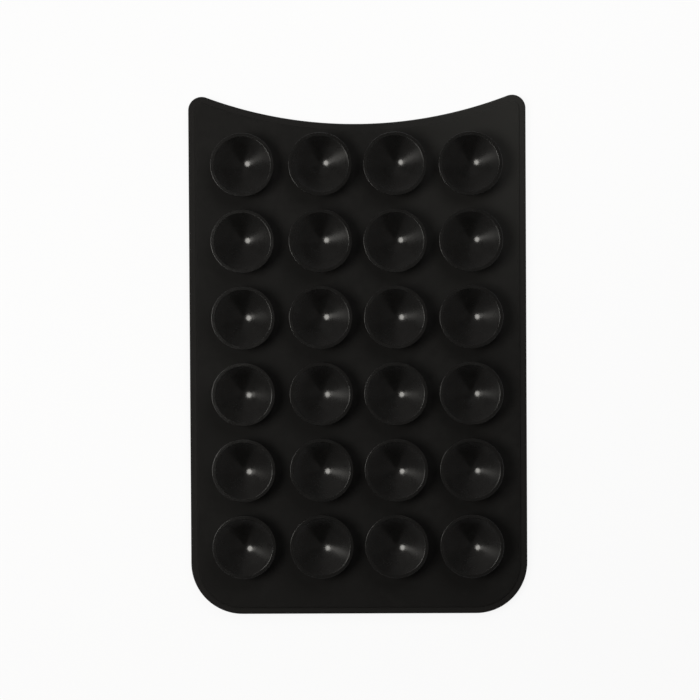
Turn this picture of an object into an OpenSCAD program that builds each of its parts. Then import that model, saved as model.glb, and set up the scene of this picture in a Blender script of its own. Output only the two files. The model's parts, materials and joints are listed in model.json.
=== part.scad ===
// Suction cup phone holder: a silicone sheet with a grid of suction cups in front and adhesive behind.
// The pad lies on its back. The origin is at the middle of its underside, +Z points out of the cups,
// and +Y points to the edge with the concave arc that clears a phone's camera.

/* [Sheet] */
// Width of the silicone sheet
sheet_w = 55; // [50:0.5:70]
// Length of the silicone sheet over its two horns
sheet_l = 84.6; // [83:0.2:120]
// Thickness of the silicone sheet
sheet_t = 1.4; // [0.8:0.1:3]
// Radius of the two round corners away from the concave edge
corner_r = 8.4; // [4:0.2:12]
// Radius of the two horns beside the concave edge
horn_r = 2.2; // [1.6:0.1:4]
// Radius of the concave edge
notch_r = 70; // [55:1:160]
// Width of the lower band that runs round the rim of the sheet
band_w = 1.1; // [0.5:0.1:1.2]
// How far the band lies below the sheet's top face
band_drop = 0.2; // [0.1:0.05:0.4]

/* [Suction cups] */
// Outer diameter of a cup's lip
cup_d = 10.2; // [9:0.1:11]
// Height of a cup above the sheet
cup_h = 3.6; // [3.4:0.1:5]
// Margin from the outer columns' lips to the sheet's long sides
side_margin = 4.1; // [3.5:0.1:5.5]
// Margin from the outer rows' lips to the sheet's two ends
end_margin = 6.45; // [6.1:0.05:8.5]
// Diameter of the stem that carries a cup
stem_d = 4.8; // [3:0.1:6]
// Height of the stem up to the flared skirt
stem_h = 1; // [0.9:0.05:1.3]
// Radius of the fillet at the stem's root
root_r = 0.6; // [0.2:0.05:0.8]
// Height of the lip's outer edge
lip_h = 0.45; // [0.3:0.05:0.6]
// Radius of the lip's outer top edge
lip_edge_r = 0.15; // [0.05:0.01:0.2]
// Width of the flat ring that meets the glass, with the lip's round edge
land_w = 0.5; // [0.3:0.05:0.8]
// Width of the bevel inside the flat ring
bevel_w = 0.35; // [0.1:0.05:0.6]
// Depth of the bevel inside the flat ring
bevel_d = 0.3; // [0.1:0.05:0.5]
// Depth of the bowl
bowl_depth = 2.3; // [1.6:0.1:2.5]
// Radius of the bowl's round bottom
bowl_r = 3.7; // [2.5:0.1:4.2]

/* [Adhesive and liner] */
// Thickness of the double sided adhesive pad
adhesive_t = 0.25; // [0.1:0.05:1]
// How far the adhesive stays inside the sheet's outline
adhesive_inset = 1; // [0.4:0.1:1.5]
// Thickness of the release liner
liner_t = 0.1; // [0.05:0.01:0.3]
// How far the liner reaches past the adhesive
liner_overhang = 0.3; // [0.1:0.05:0.4]
// Width of the split between the liner's halves
liner_split = 0.8; // [0.2:0.1:2]

/* [Hidden] */
columns = 4;
rows = 6;
circle_steps = 96;
notch_steps = 720;
arc_steps = 6;

// The columns and rows spread over the sheet between their margins
pitch_x = (sheet_w - cup_d - 2 * side_margin) / (columns - 1);
pitch_y = (sheet_l - cup_d - 2 * end_margin) / (rows - 1);
adhesive_z = liner_t;
sheet_z = adhesive_z + adhesive_t;
band_t = sheet_t - band_drop;
cup_z = sheet_z + sheet_t;
liner_inset = adhesive_inset - liner_overhang;
// Places of the corners' and the horns' centres, and of the concave arc's centre
corner_x = sheet_w / 2 - corner_r;
corner_y = corner_r - sheet_l / 2;
horn_x = sheet_w / 2 - horn_r;
horn_y = sheet_l / 2 - horn_r;
notch_y = horn_y + sqrt(pow(notch_r + horn_r, 2) - pow(horn_x, 2));
// The line from a horn's centre to the arc's centre crosses both at the point where they meet
horn_angle = atan2(notch_y - horn_y, horn_x);

function cup_name(row, column) = str("suction_cup_r", row, "_c", column);
CUP_NAMES = [for (row = [1:rows]) for (column = [1:columns]) cup_name(row, column)];

// Points along an arc, from one angle to another
function arc_points(centre, r, from, to) = [
    for (i = [0:arc_steps])
        let(a = from + (to - from) * i / arc_steps)
        centre + r * [cos(a), sin(a)]
];

// The sheet's outline without its concave edge, drawn in by an inset
module blank(inset) {
    horn = horn_r - inset;
    corner = corner_r - inset;
    side = sheet_w / 2 - inset;
    meet = [horn_x - horn * cos(horn_angle), horn_y + horn * sin(horn_angle)];
    polygon([
        [-corner_x, inset - sheet_l / 2],
        [corner_x, inset - sheet_l / 2],
        [side, corner_y],
        [side, horn_y],
        [horn_x, horn_y],
        meet,
        [-meet.x, meet.y],
        [-horn_x, horn_y],
        [-side, horn_y],
        [-side, corner_y]
    ]);
    for (x = [-1, 1]) {
        translate([x * corner_x, corner_y]) circle(r = corner, $fn = circle_steps);
        translate([x * horn_x, horn_y]) circle(r = horn, $fn = circle_steps);
    }
}

// The sheet's outline, drawn in by an inset
module outline(inset) {
    difference() {
        blank(inset);
        translate([0, notch_y]) circle(r = notch_r + inset, $fn = notch_steps);
    }
}

// The sheet: a full base, and a top face inside the lower band
module silicone_sheet() {
    color([0.11, 0.11, 0.11]) translate([0, 0, sheet_z]) {
        linear_extrude(band_t) outline(0);
        linear_extrude(sheet_t) outline(band_w);
    }
}

module adhesive_pad() {
    color([0.75, 0.75, 0.72]) translate([0, 0, adhesive_z])
        linear_extrude(adhesive_t) outline(adhesive_inset);
}

// One half of the liner, on the side of the split that side gives, 1 for the concave edge's or -1
module liner_half(side) {
    color([0.93, 0.91, 0.84]) linear_extrude(liner_t) intersection() {
        outline(liner_inset);
        translate([0, side * (sheet_l + liner_split) / 2]) square([sheet_w, sheet_l], center = true);
    }
}

module release_liner_upper() {
    liner_half(1);
}

module release_liner_lower() {
    liner_half(-1);
}

// Half of a cup's section: fillet, stem, skirt, lip, bevel, and a cone that runs into a round bottom
function cup_section() =
    let(
        lip_r = cup_d / 2,
        stem_r = stem_d / 2,
        bevel_r = lip_r - land_w - bevel_w,
        bowl_centre = [0, cup_h - bowl_depth + bowl_r],
        bevel_foot = [bevel_r, cup_h - bevel_d],
        to_foot = bevel_foot - bowl_centre,
        cone_angle = atan2(to_foot.y, to_foot.x) - acos(bowl_r / norm(to_foot))
    )
    concat(
        [[0, 0]],
        arc_points([stem_r + root_r, root_r], root_r, 270, 180),
        [[stem_r, stem_h], [lip_r, cup_h - lip_h]],
        arc_points([lip_r - lip_edge_r, cup_h - lip_edge_r], lip_edge_r, 0, 90),
        [[lip_r - land_w, cup_h], bevel_foot],
        arc_points(bowl_centre, bowl_r, cone_angle, -90)
    );

// A cup in its row and column, counted from the concave edge and from the left
module suction_cup(row, column) {
    x = (column - (columns + 1) / 2) * pitch_x;
    y = ((rows + 1) / 2 - row) * pitch_y;
    color([0.14, 0.14, 0.14]) translate([x, y, cup_z])
        rotate_extrude($fn = circle_steps) polygon(cup_section());
}

silicone_sheet();
adhesive_pad();
release_liner_upper();
release_liner_lower();
for (row = [1:rows]) {
    for (column = [1:columns]) {
        suction_cup(row, column);
    }
}
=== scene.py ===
import json
import math
import random

import bmesh
import bpy
from mathutils import Matrix, Vector


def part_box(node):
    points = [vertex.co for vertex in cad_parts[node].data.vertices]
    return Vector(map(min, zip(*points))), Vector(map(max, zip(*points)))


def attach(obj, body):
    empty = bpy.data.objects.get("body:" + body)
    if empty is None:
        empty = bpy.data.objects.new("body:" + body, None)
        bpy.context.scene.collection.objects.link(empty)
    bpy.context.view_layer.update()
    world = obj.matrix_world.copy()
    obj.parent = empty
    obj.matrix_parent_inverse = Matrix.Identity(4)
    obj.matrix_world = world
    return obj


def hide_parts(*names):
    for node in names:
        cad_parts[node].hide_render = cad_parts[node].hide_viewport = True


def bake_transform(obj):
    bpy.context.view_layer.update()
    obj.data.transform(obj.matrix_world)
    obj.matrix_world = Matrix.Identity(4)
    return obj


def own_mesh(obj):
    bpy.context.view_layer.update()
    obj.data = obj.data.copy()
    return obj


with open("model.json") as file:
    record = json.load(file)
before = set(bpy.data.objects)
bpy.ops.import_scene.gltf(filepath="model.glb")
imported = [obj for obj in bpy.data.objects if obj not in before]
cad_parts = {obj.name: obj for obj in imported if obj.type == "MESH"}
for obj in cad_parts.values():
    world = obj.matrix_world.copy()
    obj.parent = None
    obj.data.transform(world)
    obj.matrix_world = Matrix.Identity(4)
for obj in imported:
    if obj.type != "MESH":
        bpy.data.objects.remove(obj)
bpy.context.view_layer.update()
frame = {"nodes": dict(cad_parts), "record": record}  # the pad lies on its back, cups up, in metres
mm = 0.001
upAxis = (0, 0, 1)
sectionAxis = (0, -1, 0)  # turns a section's +x towards +z
leanSeed = 24
random.seed(leanSeed)  # for the cups' lean and the waves in their lips
print("frame loaded:", len(frame["nodes"]), "nodes")


# Small modelling helpers

picking = {
    "reach": 0.01 * mm,  # how far from its place an edge, face or point may lie
    "fold": 0.3,  # the least turn between an edge's two faces, in radians
    "level": 0.99,  # the least z of a level face's normal
}
sharpDegrees = 35  # an edge that turns more than this stays sharp in the shading


def selectNothing():
    bpy.ops.object.select_all(action="DESELECT")


def startPoint(name, place):  # one loose point in edit mode, the start of a drawn line
    selectNothing()
    bpy.ops.mesh.primitive_plane_add(size=mm)
    piece = bpy.context.object
    piece.name = name
    piece.data.name = name
    bpy.ops.object.mode_set(mode="EDIT")
    bpy.ops.mesh.select_mode(type="VERT")
    bpy.ops.mesh.select_all(action="SELECT")
    bpy.ops.mesh.merge(type="CENTER")
    bpy.ops.transform.translate(value=place)
    return piece


def drawLine(step):
    bpy.ops.mesh.extrude_region_move(TRANSFORM_OT_translate={"value": step})


# Spin turns against the right-hand rule, so the sign is swapped
def drawArc(centre, degrees, steps, axis=upAxis):
    bpy.ops.mesh.spin(steps=steps, angle=-math.radians(degrees), center=centre, axis=axis)


def pickParts(piece, kind, wanted):  # kind is EDGE or FACE
    bpy.ops.mesh.select_mode(type=kind)
    bpy.ops.mesh.select_all(action="DESELECT")
    shape = bmesh.from_edit_mesh(piece.data)
    for part in shape.edges if kind == "EDGE" else shape.faces:
        if wanted(part):
            part.select_set(True)
    bmesh.update_edit_mesh(piece.data)


def edgeAt(level, outward=True):  # a test for a folded edge at a height, which stands out or goes in
    side = 1 if outward else -1
    return lambda edge: (
        all(abs(corner.co.z - level) < picking["reach"] for corner in edge.verts)
        and side * edge.calc_face_angle_signed(0) > picking["fold"]
    )


def finishShape(piece):
    bpy.ops.mesh.select_all(action="SELECT")
    bpy.ops.mesh.normals_make_consistent(inside=False)
    bpy.ops.object.mode_set(mode="OBJECT")
    bpy.ops.object.shade_smooth_by_angle(angle=math.radians(sharpDegrees))


def markPoints(piece, name, value):  # a number on each point for the material to read
    layer = piece.data.attributes.new(name, "FLOAT", "POINT")
    layer.data.foreach_set("value", [value(point) for point in piece.data.vertices])


# The outline that sheet, adhesive and liner share

outline = {
    "horn": 2.2 * mm,
    "corner": 8.4 * mm,
    "notch": 70 * mm,
    "hornSteps": 16,
    "cornerSteps": 24,
    "notchSteps": 64,
    "merge": 0.002 * mm,
}
sheetLow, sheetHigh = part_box("silicone_sheet")
halfWidth = sheetHigh.x
halfLength = sheetHigh.y
hornX = halfWidth - outline["horn"]
hornY = halfLength - outline["horn"]
cornerX = halfWidth - outline["corner"]
cornerY = outline["corner"] - halfLength
notchY = hornY + math.sqrt((outline["notch"] + outline["horn"]) ** 2 - hornX ** 2)
hornDegrees = math.degrees(math.atan2(notchY - hornY, hornX))


def drawOutline(name, inset, z):  # a flat face in edit mode, drawn once round against the clock
    piece = startPoint(name, (halfWidth - inset, cornerY, z))
    drawLine((0, hornY - cornerY, 0))
    drawArc((hornX, hornY, z), 180 - hornDegrees, outline["hornSteps"])
    drawArc((0, notchY, z), 2 * hornDegrees - 180, outline["notchSteps"])
    drawArc((-hornX, hornY, z), 180 - hornDegrees, outline["hornSteps"])
    drawLine((0, cornerY - hornY, 0))
    drawArc((-cornerX, cornerY, z), 90, outline["cornerSteps"])
    drawLine((2 * cornerX, 0, 0))
    drawArc((cornerX, cornerY, z), 90, outline["cornerSteps"])
    bpy.ops.mesh.select_all(action="SELECT")
    bpy.ops.mesh.remove_doubles(threshold=outline["merge"])
    bpy.ops.mesh.edge_face_add()
    return piece


# Silicone sheet

sheet = {
    "bandWidth": 1.1 * mm,
    "bandDrop": 0.2 * mm,
    "edgeRound": 0.5 * mm,
    "underRound": 0.15 * mm,
    "stepRound": 0.1 * mm,
    "footRound": 0.08 * mm,
    "edgeSegments": 8,
    "smallSegments": 3,
    "support": 0.3 * mm,  # width of the ring of faces that keeps the top's shading flat
}


def makeSheet():
    bandTop = sheetHigh.z - sheet["bandDrop"]
    piece = drawOutline("siliconeSheet", 0, sheetLow.z)
    drawLine((0, 0, bandTop - sheetLow.z))
    bpy.ops.mesh.inset(thickness=sheet["bandWidth"])
    drawLine((0, 0, sheet["bandDrop"]))
    bpy.ops.mesh.select_all(action="SELECT")
    bpy.ops.mesh.normals_make_consistent(inside=False)
    rounds = (  # the height of the edges, whether they stand out, and the size and steps of their round
        (sheetHigh.z, True, sheet["stepRound"], sheet["smallSegments"]),
        (bandTop, False, sheet["footRound"], sheet["smallSegments"]),
        (bandTop, True, sheet["edgeRound"], sheet["edgeSegments"]),
        (sheetLow.z, True, sheet["underRound"], sheet["smallSegments"]),
    )
    for level, outward, width, segments in rounds:
        pickParts(piece, "EDGE", edgeAt(level, outward))
        bpy.ops.mesh.bevel(offset=width, segments=segments, affect="EDGES")
    topLevel = sheetHigh.z - picking["reach"]
    pickParts(
        piece, "FACE",
        lambda face: face.normal.z > picking["level"] and face.calc_center_median().z > topLevel,
    )
    bpy.ops.mesh.inset(thickness=sheet["support"])
    finishShape(piece)
    stepMiddle = sheetHigh.z - sheet["bandDrop"] / 2
    # the outer band, which the material paints paler as painted sheen
    markPoints(piece, "rim", lambda point: 1.0 if point.co.z < stepMiddle else 0.0)
    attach(piece, "pad")
    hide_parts("silicone_sheet")
    return piece


siliconeSheet = makeSheet()
print("sheet modelled:", len(siliconeSheet.data.polygons), "faces")


# Suction cups, turned once and copied

cup = {
    "rows": 6,
    "columns": 4,
    "stem": 2.4 * mm,
    "rootFillet": 0.6 * mm,
    "neckHeight": 0.8 * mm,
    "neckRound": 1.5 * mm,
    "lipHeight": 0.45 * mm,
    "lipRound": 0.06 * mm,
    "land": 0.5 * mm,
    "landRound": 0.1 * mm,
    "landSupport": 0.04 * mm,  # width of the narrow faces that keep the land's shading flat
    "rimDegrees": 36,  # how steep the wall is at the rim and at the bottom
    "wallDegrees": 31,
    "bowlRound": 3.7 * mm,
    "rootSteps": 8,
    "neckSteps": 8,
    "lipSteps": 6,
    "landSteps": 5,
    "wallSteps": 12,
    "bottomSteps": 16,
    "turns": 96,
    "merge": 0.001 * mm,
    "bowlFacing": 0.3,  # the least z of a normal in the bowl
    "columnLean": (2.5, 2.5, -1.2, -2.5),  # degrees that each column's cups lean to the right
    "leanDegrees": 0.9,  # the most that a cup leans its own way besides
    "leastLean": 0.3,  # and the least, as a share of it
    "sway": (-0.24 * mm, 0.06 * mm, 0.06 * mm, 0.06 * mm),  # how far each column's cups stand to the right
    "flexFoot": 0.3 * mm,  # the stem bends between these heights
    "flexTop": 1.3 * mm,
    "lipWave": 0.012 * mm,
    "waves": 2,
}
cupLow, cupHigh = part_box("suction_cup_r1_c1")
cupRadius = (cupHigh.x - cupLow.x) / 2


def touchDegrees(centre, radius, point):  # how far round a circle a line from a point outside touches it
    away = point - centre
    return math.degrees(math.atan2(away.y, away.x) + math.acos(radius / away.length))


def drawSkirt():  # from the axis along the foot, up the stem and out to the lip's lower edge
    base = cupLow.z
    rootX = cup["stem"] + cup["rootFillet"]
    drawLine((rootX, 0, 0))
    drawArc((rootX, 0, base + cup["rootFillet"]), -90, cup["rootSteps"], sectionAxis)
    drawLine((0, 0, cup["neckHeight"] - cup["rootFillet"]))
    neck = Vector((cup["stem"] + cup["neckRound"], base + cup["neckHeight"]))
    lipFoot = Vector((cupRadius, cupHigh.z - cup["lipHeight"]))
    meets = touchDegrees(neck, cup["neckRound"], lipFoot)
    drawArc((neck.x, 0, neck.y), meets - 180, cup["neckSteps"], sectionAxis)
    angle = math.radians(meets)
    touch = neck + cup["neckRound"] * Vector((math.cos(angle), math.sin(angle)))
    drawLine((lipFoot.x - touch.x, 0, lipFoot.y - touch.y))


def drawLip():  # up the lip's edge, over its round and in across the flat land
    top = cupHigh.z
    drawLine((0, 0, cup["lipHeight"] - cup["lipRound"]))
    drawArc((cupRadius - cup["lipRound"], 0, top - cup["lipRound"]), 90, cup["lipSteps"], sectionAxis)
    drawLine((-cup["landSupport"], 0, 0))
    drawLine((cup["lipRound"] - cup["land"] + 2 * cup["landSupport"], 0, 0))
    drawLine((-cup["landSupport"], 0, 0))


def drawBowl():  # over the land's inner edge, down a slightly hollow wall and round the bottom
    edge = Vector((cupRadius - cup["land"], cupHigh.z - cup["landRound"]))
    rim, wall = math.radians(cup["rimDegrees"]), math.radians(cup["wallDegrees"])
    drawArc((edge.x, 0, edge.y), cup["rimDegrees"], cup["landSteps"], sectionAxis)
    top = edge + cup["landRound"] * Vector((-math.sin(rim), math.cos(rim)))
    wallRound = (top.x - cup["bowlRound"] * math.sin(wall)) / (math.sin(rim) - math.sin(wall))
    middle = top + wallRound * Vector((-math.sin(rim), math.cos(rim)))
    drawArc((middle.x, 0, middle.y), cup["wallDegrees"] - cup["rimDegrees"], cup["wallSteps"], sectionAxis)
    bottom = middle + (wallRound - cup["bowlRound"]) * Vector((math.sin(wall), -math.cos(wall)))
    drawArc((0, 0, bottom.y), -cup["wallDegrees"], cup["bottomSteps"], sectionAxis)


def turnCup():  # the whole section is spun once round the axis
    piece = startPoint("suctionCup", (0, 0, cupLow.z))
    drawSkirt()
    drawLip()
    drawBowl()
    bpy.ops.mesh.select_all(action="SELECT")
    drawArc((0, 0, 0), 360, cup["turns"])
    bpy.ops.mesh.select_all(action="SELECT")
    bpy.ops.mesh.remove_doubles(threshold=cup["merge"])
    finishShape(piece)
    markPoints(piece, "fromAxis", lambda point: point.co.xy.length / mm)
    bowlEdge = cupRadius - cup["land"] + picking["reach"]

    def inBowl(point):
        return 1.0 if point.co.xy.length < bowlEdge and point.normal.z > cup["bowlFacing"] else 0.0

    markPoints(piece, "bowl", inBowl)
    return piece


# Bends the stem, so that what is above it leans and sways, and waves the lip
def leanCup(piece, lean, phase, sway):
    axis = Vector((-lean.y, lean.x, 0)).normalized()
    pivot = Vector((0, 0, cupLow.z + cup["neckHeight"]))
    for point in piece.data.vertices:
        share = (point.co.z - cupLow.z - cup["flexFoot"]) / (cup["flexTop"] - cup["flexFoot"])
        share = max(0.0, min(1.0, share))
        turn = Matrix.Rotation(math.radians(lean.length) * share, 3, axis)
        point.co = pivot + turn @ (point.co - pivot)
        point.co.x += sway * share
        wave = math.sin(cup["waves"] * math.atan2(point.co.y, point.co.x) + phase)
        point.co.z += cup["lipWave"] * share * wave * point.co.xy.length / cupRadius


def placeCup(pattern, row, column):
    low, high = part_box(f"suction_cup_r{row}_c{column}")
    selectNothing()
    pattern.select_set(True)
    bpy.context.view_layer.objects.active = pattern
    bpy.ops.object.duplicate()
    piece = bpy.context.object
    piece.name = f"suctionCup{row}{column}"
    piece.data.name = piece.name
    heading = random.uniform(0, 2 * math.pi)
    amount = cup["leanDegrees"] * random.uniform(cup["leastLean"], 1)
    lean = amount * Vector((math.cos(heading), math.sin(heading)))
    lean.x += cup["columnLean"][column - 1]
    leanCup(piece, lean, random.uniform(0, 2 * math.pi), cup["sway"][column - 1])
    bpy.ops.transform.translate(value=((low.x + high.x) / 2, (low.y + high.y) / 2, 0))
    bpy.ops.object.transform_apply(location=True, rotation=False, scale=False)
    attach(piece, f"cup_r{row}_c{column}")
    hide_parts(f"suction_cup_r{row}_c{column}")
    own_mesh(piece)  # each cup keeps a mesh of its own
    return piece


cupPattern = turnCup()
suctionCups = [
    placeCup(cupPattern, row, column)
    for row in range(1, cup["rows"] + 1)
    for column in range(1, cup["columns"] + 1)
]
bpy.data.objects.remove(cupPattern)
print("cups modelled:", len(suctionCups), "with", len(suctionCups[0].data.polygons), "faces each")


# Adhesive pad and the two halves of its liner

film = {
    "adhesiveInset": 1 * mm,
    "adhesiveRound": 0.04 * mm,
    "adhesiveSegments": 2,
    "linerInset": 0.7 * mm,
    "peelLength": 0.8 * mm,
    "peelCuts": 10,
}


def makeAdhesive():
    low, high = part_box("adhesive_pad")
    piece = drawOutline("adhesivePad", film["adhesiveInset"], low.z)
    drawLine((0, 0, high.z - low.z))
    bpy.ops.mesh.select_all(action="SELECT")
    bpy.ops.mesh.normals_make_consistent(inside=False)
    for level in (low.z, high.z):
        pickParts(piece, "EDGE", edgeAt(level))
        bpy.ops.mesh.bevel(
            offset=film["adhesiveRound"], segments=film["adhesiveSegments"], affect="EDGES",
        )
    finishShape(piece)
    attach(piece, "pad")
    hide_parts("adhesive_pad")
    return piece


def makeLiner(half, side):  # half is upper or lower, and side is 1 or -1 along y
    node = f"release_liner_{half}"
    low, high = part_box(node)
    hingeY = side * (halfLength - film["linerInset"])
    piece = drawOutline(f"releaseLiner{half.capitalize()}", film["linerInset"], low.z)
    splitY = low.y if side > 0 else high.y
    bpy.ops.mesh.select_all(action="SELECT")
    bpy.ops.mesh.bisect(
        plane_co=(0, splitY, 0), plane_no=(0, side, 0), use_fill=False, clear_inner=True,
    )
    for cut in range(1, film["peelCuts"]):  # cuts across it, so that the film can bend where it peels
        y = hingeY - side * film["peelLength"] * cut / film["peelCuts"]
        bpy.ops.mesh.select_all(action="SELECT")
        bpy.ops.mesh.bisect(plane_co=(0, y, 0), plane_no=(0, 1, 0))
    bpy.ops.mesh.select_all(action="SELECT")
    bpy.ops.mesh.normals_make_consistent(inside=False)
    bpy.ops.object.mode_set(mode="OBJECT")
    if piece.data.polygons[0].normal.z < 0:
        piece.data.flip_normals()
    thickness = piece.modifiers.new("thickness", "SOLIDIFY")
    thickness.thickness = high.z - low.z
    thickness.offset = 1
    bpy.ops.object.modifier_apply(modifier=thickness.name)
    bpy.ops.object.mode_set(mode="EDIT")
    finishShape(piece)
    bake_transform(piece)
    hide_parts(node)
    return piece


adhesivePad = makeAdhesive()
releaseLiners = [makeLiner("upper", 1), makeLiner("lower", -1)]
print("adhesive and liners modelled")


# Nodes that the materials share

def newMaterial(name):
    material = bpy.data.materials.new(name)
    material.use_nodes = True
    tree = material.node_tree
    shader = tree.nodes["Principled BSDF"]
    return material, tree, shader


def addNode(tree, kind, **settings):
    node = tree.nodes.new(kind)
    for name, value in settings.items():
        setattr(node, name, value)
    return node


def objectPlace(tree):
    return addNode(tree, "ShaderNodeTexCoord").outputs["Object"]


def addNoise(tree, place, size, detail, roughness=0.5):  # size is the width of a feature in metres
    noise = addNode(tree, "ShaderNodeTexNoise")
    noise.inputs["Scale"].default_value = 1 / size
    noise.inputs["Detail"].default_value = detail
    noise.inputs["Roughness"].default_value = roughness
    tree.links.new(place, noise.inputs["Vector"])
    return noise.outputs["Fac"]


def addRange(tree, value, before, after=(0, 1), form="LINEAR"):  # carries one span of numbers to another
    node = addNode(tree, "ShaderNodeMapRange", interpolation_type=form)
    tree.links.new(value, node.inputs["Value"])
    for name, number in zip(("From Min", "From Max", "To Min", "To Max"), (*before, *after)):
        node.inputs[name].default_value = number
    return node.outputs["Result"]


def addMath(tree, operation, first, second):
    node = addNode(tree, "ShaderNodeMath", operation=operation)
    for socket, value in zip(node.inputs, (first, second)):
        if isinstance(value, (int, float)):
            socket.default_value = value
        else:
            tree.links.new(value, socket)
    return node.outputs["Value"]


def addBetween(tree, share, first, second):  # the number that lies that share of the way to the second
    step = addMath(tree, "SUBTRACT", second, first)
    return addMath(tree, "ADD", first, addMath(tree, "MULTIPLY", share, step))


mixSockets = {"first": 6, "second": 7, "result": 2}  # the Mix node's sockets for colours


def addMix(tree, share, first, second):  # first and second are colours or sockets
    node = addNode(tree, "ShaderNodeMix", data_type="RGBA")
    tree.links.new(share, node.inputs["Factor"])
    for name, value in (("first", first), ("second", second)):
        socket = node.inputs[mixSockets[name]]
        if isinstance(value, tuple):
            socket.default_value = (*value, 1)
        else:
            tree.links.new(value, socket)
    return node.outputs[mixSockets["result"]]


def addBump(tree, height, distance, strength, under=None):
    node = addNode(tree, "ShaderNodeBump")
    node.inputs["Distance"].default_value = distance
    node.inputs["Strength"].default_value = strength
    tree.links.new(height, node.inputs["Height"])
    if under is not None:
        tree.links.new(under, node.inputs["Normal"])
    return node.outputs["Normal"]


def addMark(tree, name):  # reads a number that a piece's points carry
    return addNode(tree, "ShaderNodeAttribute", attribute_name=name).outputs["Fac"]


def addSpecks(tree, place, spacing, size, share, strength):  # scattered round specks, 0 between them
    cells = addNode(tree, "ShaderNodeTexVoronoi")
    cells.inputs["Scale"].default_value = 1 / spacing
    tree.links.new(place, cells.inputs["Vector"])
    chance = addNode(tree, "ShaderNodeSeparateColor")
    tree.links.new(cells.outputs["Color"], chance.inputs["Color"])
    near = addRange(tree, cells.outputs["Distance"], (size / spacing, size / spacing / 2))
    kept = addMath(tree, "LESS_THAN", chance.outputs["Red"], share)
    return addMath(tree, "MULTIPLY", addMath(tree, "MULTIPLY", near, kept), strength)


# Materials

noiseMiddle = (0.3, 0.7)  # most of a noise's values lie between these

sheetSilicone = {
    "dark": (0.0099, 0.0096, 0.0092),
    "pale": (0.0136, 0.0132, 0.0126),
    # painted sheen: the outer band's paler colour stands in for the light the perimeter catches
    "rim": (0.0146, 0.0141, 0.0135),
    # painted light: the paler colour of a pool of light on the notched end's right side
    "paintedLight": (0.0225, 0.0222, 0.0208),
    "lint": (0.030, 0.030, 0.027),
    "bloom": {"size": 9 * mm, "detail": 3},
    "mottle": {"size": 1.6 * mm, "detail": 4, "roughness": 0.6},
    "paleTones": (0.12, 0.40),  # bloom times mottle, from the dark colour to the pale one
    "paintedLightByLength": (-0.45, 0.15),  # painted light: what is added to that, from the round corners' end to the notch, painting the sheet darker at the round corners and paler at the notch end, where more light falls
    "rimShares": (0, 0.8),  # how much of the rim's painted sheen shows, off the rim and on it
    "paintedLightLength": (0, 0.9),  # painted light: where the sheet is painted paler towards the notched end's right side, as shares of the sheet's half length and half width
    "paintedLightWidth": (0.1, 0.9),
    "specks": {"spacing": 2.4 * mm, "size": 0.05 * mm, "share": 0.30, "strength": 0.6},
    "rough": (0.60, 0.70),
    "specular": 0.06,
    "grain": {"size": 0.09 * mm, "detail": 2},
    "grainBump": {"distance": 0.004 * mm, "strength": 0.5},
    "swell": {"size": 3 * mm, "detail": 1},
    "swellBump": {"distance": 0.03 * mm, "strength": 0.4},
}


def makeSheetSilicone():
    look = sheetSilicone
    material, tree, shader = newMaterial("sheetSilicone")
    place = objectPlace(tree)
    bloom = addNoise(tree, place, **look["bloom"])
    mottle = addNoise(tree, place, **look["mottle"])
    tone = addMath(tree, "MULTIPLY", bloom, mottle)
    axes = addNode(tree, "ShaderNodeSeparateXYZ")
    tree.links.new(place, axes.inputs["Vector"])
    # painted light: darker towards the round corners, paler towards the notch
    paintedByLength = addRange(tree, axes.outputs["Y"], (-halfLength, halfLength), look["paintedLightByLength"])
    share = addMath(tree, "ADD", addRange(tree, tone, look["paleTones"]), paintedByLength)
    colour = addMix(tree, share, look["dark"], look["pale"])
    # painted sheen: the outer band is painted paler
    onRim = addRange(tree, addMark(tree, "rim"), (0, 1), look["rimShares"])
    colour = addMix(tree, onRim, colour, look["rim"])
    # painted light: paler towards the notched end's right side
    nearTop = addRange(tree, axes.outputs["Y"], [part * halfLength for part in look["paintedLightLength"]])
    nearSide = addRange(tree, axes.outputs["X"], [part * halfWidth for part in look["paintedLightWidth"]])
    colour = addMix(tree, addMath(tree, "MULTIPLY", nearTop, nearSide), colour, look["paintedLight"])
    colour = addMix(tree, addSpecks(tree, place, **look["specks"]), colour, look["lint"])
    tree.links.new(colour, shader.inputs["Base Color"])
    tree.links.new(addRange(tree, mottle, noiseMiddle, look["rough"]), shader.inputs["Roughness"])
    shader.inputs["Specular IOR Level"].default_value = look["specular"]
    grain = addNoise(tree, place, **look["grain"])
    swell = addNoise(tree, place, **look["swell"])
    fine = addBump(tree, grain, **look["grainBump"])
    tree.links.new(addBump(tree, swell, **look["swellBump"], under=fine), shader.inputs["Normal"])
    return material


cupSilicone = {
    "dark": (0.0030, 0.0029, 0.0027),
    "pale": (0.0050, 0.0049, 0.0046),
    "lip": (0.0040, 0.0039, 0.0036),
    "lint": (0.030, 0.030, 0.027),
    "mottle": {"size": 1.3 * mm, "detail": 4, "roughness": 0.6},
    "lipFade": (-0.12, 0.08),  # mm from the land's inner edge, from the bowl's finish to the lip's
    "patches": {"size": 2.5 * mm, "detail": 2},  # where the lip's colour is worn
    "patchTones": (0.3, 0.65),
    "patchShares": (0.45, 1),
    "specks": {"spacing": 1.8 * mm, "size": 0.05 * mm, "share": 0.25, "strength": 0.5},
    "bottomFade": (1.1, 2.0),  # mm from the axis, from the bottom's finish to the wall's
    "bottomRough": 0.165,
    "wallRough": 0.27,
    "skirtRough": 0.19,
    "lipRough": 0.22,
    "smudges": {"size": 2 * mm, "detail": 3},
    "smudgeTones": (0.35, 0.7),
    "smudgeRough": (-0.02, 0.04),
    "specular": 0.5,
    "ringScale": 9,
    "ringBump": {"distance": 0.001 * mm, "strength": 0.5},
    "grain": {"size": 0.12 * mm, "detail": 2},
    "grainBump": {"distance": 0.001 * mm, "strength": 0.4},
}


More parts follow.
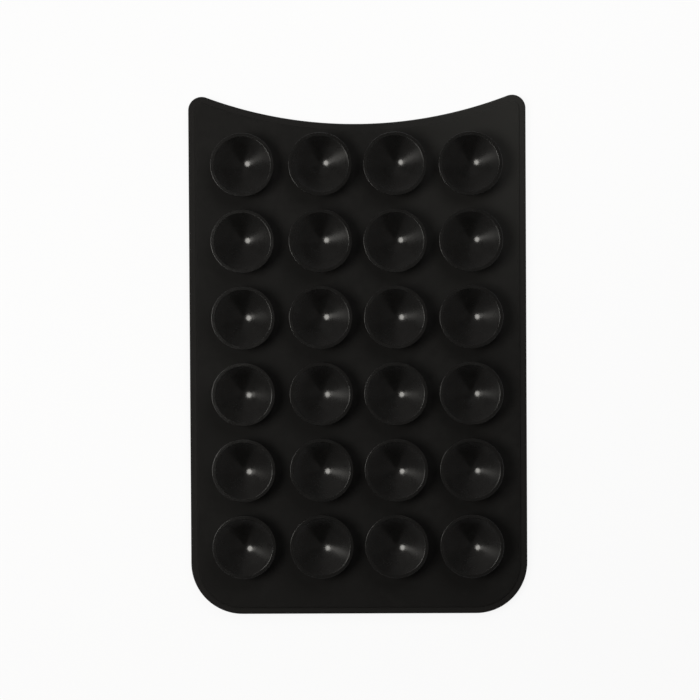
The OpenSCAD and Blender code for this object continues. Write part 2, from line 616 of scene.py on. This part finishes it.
def makeCupSilicone():
    look = cupSilicone
    material, tree, shader = newMaterial("cupSilicone")
    place = objectPlace(tree)
    fromAxis = addMark(tree, "fromAxis")
    mottle = addNoise(tree, place, **look["mottle"])
    colour = addMix(tree, addRange(tree, mottle, noiseMiddle), look["dark"], look["pale"])
    landEdge = (cupRadius - cup["land"]) / mm
    onLip = addRange(tree, fromAxis, [landEdge + step for step in look["lipFade"]])
    patches = addNoise(tree, place, **look["patches"])
    worn = addRange(tree, patches, look["patchTones"], look["patchShares"])
    colour = addMix(tree, addMath(tree, "MULTIPLY", onLip, worn), colour, look["lip"])
    colour = addMix(tree, addSpecks(tree, place, **look["specks"]), colour, look["lint"])
    tree.links.new(colour, shader.inputs["Base Color"])
    inner = addRange(tree, fromAxis, look["bottomFade"], (look["bottomRough"], look["wallRough"]))
    rough = addBetween(tree, addMark(tree, "bowl"), look["skirtRough"], inner)
    rough = addBetween(tree, onLip, rough, look["lipRough"])
    smudges = addNoise(tree, place, **look["smudges"])
    smudge = addRange(tree, smudges, look["smudgeTones"], look["smudgeRough"])
    tree.links.new(addMath(tree, "ADD", rough, smudge), shader.inputs["Roughness"])
    shader.inputs["Specular IOR Level"].default_value = look["specular"]
    turned = addNode(tree, "ShaderNodeTexNoise", noise_dimensions="1D")  # rings left by the turned mould
    turned.inputs["Scale"].default_value = look["ringScale"]
    tree.links.new(fromAxis, turned.inputs["W"])
    rings = addBump(tree, turned.outputs["Fac"], **look["ringBump"])
    grain = addNoise(tree, place, **look["grain"])
    tree.links.new(addBump(tree, grain, **look["grainBump"], under=rings), shader.inputs["Normal"])
    return material


adhesiveFilm = {
    "dark": (0.56, 0.56, 0.52),
    "pale": (0.70, 0.70, 0.66),
    "bubble": (0.80, 0.80, 0.77),
    "cloud": {"size": 4 * mm, "detail": 3},
    "bubbles": {"spacing": 1.2 * mm, "size": 0.12 * mm, "share": 0.35, "strength": 0.5},
    "rough": (0.16, 0.30),
    "ripple": {"size": 0.8 * mm, "detail": 2},
    "rippleBump": {"distance": 0.01 * mm, "strength": 0.5},
}


def makeAdhesiveFilm():
    look = adhesiveFilm
    material, tree, shader = newMaterial("adhesiveFilm")
    place = objectPlace(tree)
    cloud = addNoise(tree, place, **look["cloud"])
    colour = addMix(tree, addRange(tree, cloud, noiseMiddle), look["dark"], look["pale"])
    colour = addMix(tree, addSpecks(tree, place, **look["bubbles"]), colour, look["bubble"])
    tree.links.new(colour, shader.inputs["Base Color"])
    tree.links.new(addRange(tree, cloud, noiseMiddle, look["rough"]), shader.inputs["Roughness"])
    ripple = addNoise(tree, place, **look["ripple"])
    tree.links.new(addBump(tree, ripple, **look["rippleBump"]), shader.inputs["Normal"])
    return material


linerPaper = {
    "dark": (0.76, 0.70, 0.56),
    "pale": (0.86, 0.81, 0.68),
    "strand": (0.93, 0.90, 0.82),
    "stretch": (1, 0.25, 1),  # fibres lie along the paper's length
    "strands": {"size": 0.35 * mm, "detail": 4, "roughness": 0.65},
    "strandTones": (0.45, 0.75),
    "strandShares": (0, 0.35),
    "cloud": {"size": 5 * mm, "detail": 3},
    "rough": (0.30, 0.42),
    "strandBump": {"distance": 0.006 * mm, "strength": 0.5},
}


def makeLinerPaper():
    look = linerPaper
    material, tree, shader = newMaterial("linerPaper")
    place = objectPlace(tree)
    fibre = addNode(tree, "ShaderNodeMapping")
    fibre.inputs["Scale"].default_value = look["stretch"]
    tree.links.new(place, fibre.inputs["Vector"])
    strands = addNoise(tree, fibre.outputs["Vector"], **look["strands"])
    cloud = addNoise(tree, place, **look["cloud"])
    colour = addMix(tree, addRange(tree, cloud, noiseMiddle), look["dark"], look["pale"])
    shows = addRange(tree, strands, look["strandTones"], look["strandShares"])
    colour = addMix(tree, shows, colour, look["strand"])
    tree.links.new(colour, shader.inputs["Base Color"])
    tree.links.new(addRange(tree, cloud, noiseMiddle, look["rough"]), shader.inputs["Roughness"])
    tree.links.new(addBump(tree, strands, **look["strandBump"]), shader.inputs["Normal"])
    return material


def giveMaterial(piece, material):
    piece.data.materials.clear()
    piece.data.materials.append(material)


finishes = {
    "sheet_silicone": makeSheetSilicone(),
    "cup_silicone": makeCupSilicone(),
    "adhesive_film": makeAdhesiveFilm(),
    "liner_paper": makeLinerPaper(),
}
giveMaterial(siliconeSheet, finishes["sheet_silicone"])
giveMaterial(adhesivePad, finishes["adhesive_film"])
for suctionCup in suctionCups:
    giveMaterial(suctionCup, finishes["cup_silicone"])
for liner in releaseLiners:
    giveMaterial(liner, finishes["liner_paper"])
for part in frame["record"]["subparts"]:  # the hidden solids carry the finish of what stands for them
    giveMaterial(frame["nodes"][part["node"]], finishes[part["material_slot"]])
print("materials made")


# Floor, light and camera

studio = {
    "floorSize": 12,
    "floorDrop": 0.2 * mm,
    "floorColour": (0.86, 0.86, 0.86),
    "floorShade": 0.99,  # how dark its darker clouds are beside its colour
    "floorCloud": {"size": 40 * mm, "detail": 2},
    "floorRough": 0.9,
    "floorSpecular": 0.1,
    "floorGlow": 0.9,
    "sky": 0.133,
    "skyColour": (1, 0.95, 0.91),
    "horizon": 0.95,
    "horizonColour": (1, 1, 1),
    "horizonFade": (0.02, 0.16),  # heights in the sky, from 0 at the horizon to 1 straight up
    "top": 0.105,
    "topFade": (0.94, 0.995),
    "nearOne": 1.0001,  # a little over 1, so that nothing is divided by 0 straight up
    "sides": (  # where each side of the sky lies, in degrees from +x, how wide it is, and its level
        {"towards": -85, "inner": 24, "outer": 32, "level": 0.03},
        {"towards": 45, "inner": 18, "outer": 40, "level": 0.088},
        {"towards": 118, "inner": 14, "outer": 36, "level": 0.205},
    ),
}


def makeFloor():
    selectNothing()
    bpy.ops.mesh.primitive_plane_add(size=studio["floorSize"], location=(0, 0, -studio["floorDrop"]))
    floor = bpy.context.object
    floor.name = "floor"
    bpy.ops.object.transform_apply(location=True)
    material, tree, shader = newMaterial("paleFloor")
    pale = studio["floorColour"]
    shaded = tuple(studio["floorShade"] * part for part in pale)
    cloud = addRange(tree, addNoise(tree, objectPlace(tree), **studio["floorCloud"]), noiseMiddle)
    tree.links.new(addMix(tree, cloud, pale, shaded), shader.inputs["Base Color"])
    shader.inputs["Roughness"].default_value = studio["floorRough"]
    shader.inputs["Specular IOR Level"].default_value = studio["floorSpecular"]
    glow = addNode(tree, "ShaderNodeEmission")
    rays = addNode(tree, "ShaderNodeLightPath")
    seen = addMath(tree, "MAXIMUM", rays.outputs["Is Camera Ray"], rays.outputs["Is Glossy Ray"])
    seen = addMath(tree, "MAXIMUM", seen, rays.outputs["Is Transmission Ray"])
    lit = addNode(tree, "ShaderNodeMixShader")
    tree.links.new(addMath(tree, "MULTIPLY", seen, studio["floorGlow"]), lit.inputs["Fac"])
    tree.links.new(shader.outputs["BSDF"], lit.inputs[1])
    tree.links.new(glow.outputs["Emission"], lit.inputs[2])
    below = addNode(tree, "ShaderNodeMixShader")  # seen from below, the floor lets the pad's back show
    clear = addNode(tree, "ShaderNodeBsdfTransparent")
    tree.links.new(addNode(tree, "ShaderNodeNewGeometry").outputs["Backfacing"], below.inputs["Fac"])
    tree.links.new(lit.outputs["Shader"], below.inputs[1])
    tree.links.new(clear.outputs["BSDF"], below.inputs[2])
    tree.links.new(below.outputs["Shader"], tree.nodes["Material Output"].inputs["Surface"])
    giveMaterial(floor, material)


def makeSky():  # a plain studio: pale round the horizon, dim above it, with sides of their own level
    world = bpy.data.worlds.new("studio")
    bpy.context.scene.world = world
    world.use_nodes = True
    tree = world.node_tree
    background = tree.nodes["Background"]
    axes = addNode(tree, "ShaderNodeSeparateXYZ")
    tree.links.new(addNode(tree, "ShaderNodeTexCoord").outputs["Generated"], axes.inputs["Vector"])
    x, y, z = (axes.outputs[name] for name in "XYZ")
    flatSquared = addMath(tree, "SUBTRACT", studio["nearOne"], addMath(tree, "MULTIPLY", z, z))
    stretch = addMath(tree, "POWER", flatSquared, -1 / 2)  # makes x and y a flat direction of length 1
    level = studio["sky"]
    for side in studio["sides"]:
        towards = math.radians(side["towards"])
        across = addMath(tree, "MULTIPLY", x, math.cos(towards))
        along = addMath(tree, "MULTIPLY", y, math.sin(towards))
        near = addMath(tree, "MULTIPLY", addMath(tree, "ADD", across, along), stretch)
        edges = [math.cos(math.radians(side[edge])) for edge in ("outer", "inner")]
        level = addBetween(tree, addRange(tree, near, edges), level, side["level"])
    level = addBetween(tree, addRange(tree, z, studio["topFade"]), level, studio["top"])
    low = addRange(tree, z, studio["horizonFade"], (1, 0), "SMOOTHSTEP")
    level = addBetween(tree, low, level, studio["horizon"])
    tree.links.new(level, background.inputs["Strength"])
    colour = addMix(tree, low, studio["skyColour"], studio["horizonColour"])
    tree.links.new(colour, background.inputs["Color"])


warm = (1, 0.975, 0.92)
padMiddle = (0, 0, 0.004)
keyPlace = (-0.126, 0.002, 0.231)
lamps = {  # places and sizes in metres, power in watts
    "key": {  # makes the round spots in the bowls
        "place": keyPlace, "target": padMiddle, "size": 0.112, "power": 0.27, "colour": warm,
    },
    "keySoft": {  # adds to it on the matt silicone
        "place": keyPlace, "target": padMiddle, "size": 0.14, "power": 0.08, "glossy": False,
    },
    "side": {  # makes the wedges of light on the bowls' right walls
        "place": (-0.145, -0.009, 0.113), "target": padMiddle,
        "size": 0.068, "power": 0.0205, "colour": warm,
    },
    "fill": {  # lights the matt silicone from the notched end
        "place": (0.05, 0.12, 0.16), "target": (0, 0.01, 0),
        "size": 0.14, "power": 0.185, "glossy": False,
    },
}


def addLamp(name, place, target, size, power, colour=(1, 1, 1), glossy=True):
    lamp = bpy.data.lights.new(name, "AREA")
    lamp.shape = "DISK"
    lamp.color = colour
    lamp.size = size
    lamp.energy = power
    stand = bpy.data.objects.new(name, lamp)
    bpy.context.scene.collection.objects.link(stand)
    stand.location = place
    stand.rotation_euler = (Vector(target) - Vector(place)).to_track_quat("-Z", "Y").to_euler()
    stand.visible_camera = False
    stand.visible_glossy = glossy


camera = {
    "place": (1.5 * mm, 4.1 * mm, 250 * mm),
    "turn": (-0.75, 0.64, -0.32),  # degrees about x, y and z
    "focal": 1523.8,  # pixels of the 700 pixel wide picture
    "picture": 700,
    "sensor": 36,
    "nearest": 1 * mm,
}


def makeCamera():
    view = bpy.data.cameras.new("camera")
    view.sensor_width = camera["sensor"]
    view.lens = camera["focal"] / camera["picture"] * camera["sensor"]
    view.clip_start = camera["nearest"]
    stand = bpy.data.objects.new("camera", view)
    bpy.context.scene.collection.objects.link(stand)
    stand.location = camera["place"]
    stand.rotation_euler = [math.radians(part) for part in camera["turn"]]
    bpy.context.scene.camera = stand


makeFloor()
makeSky()
for lampName, lampLook in lamps.items():
    addLamp(lampName, **lampLook)
makeCamera()
bpy.context.scene.view_settings.view_transform = "Standard"
print("studio ready")
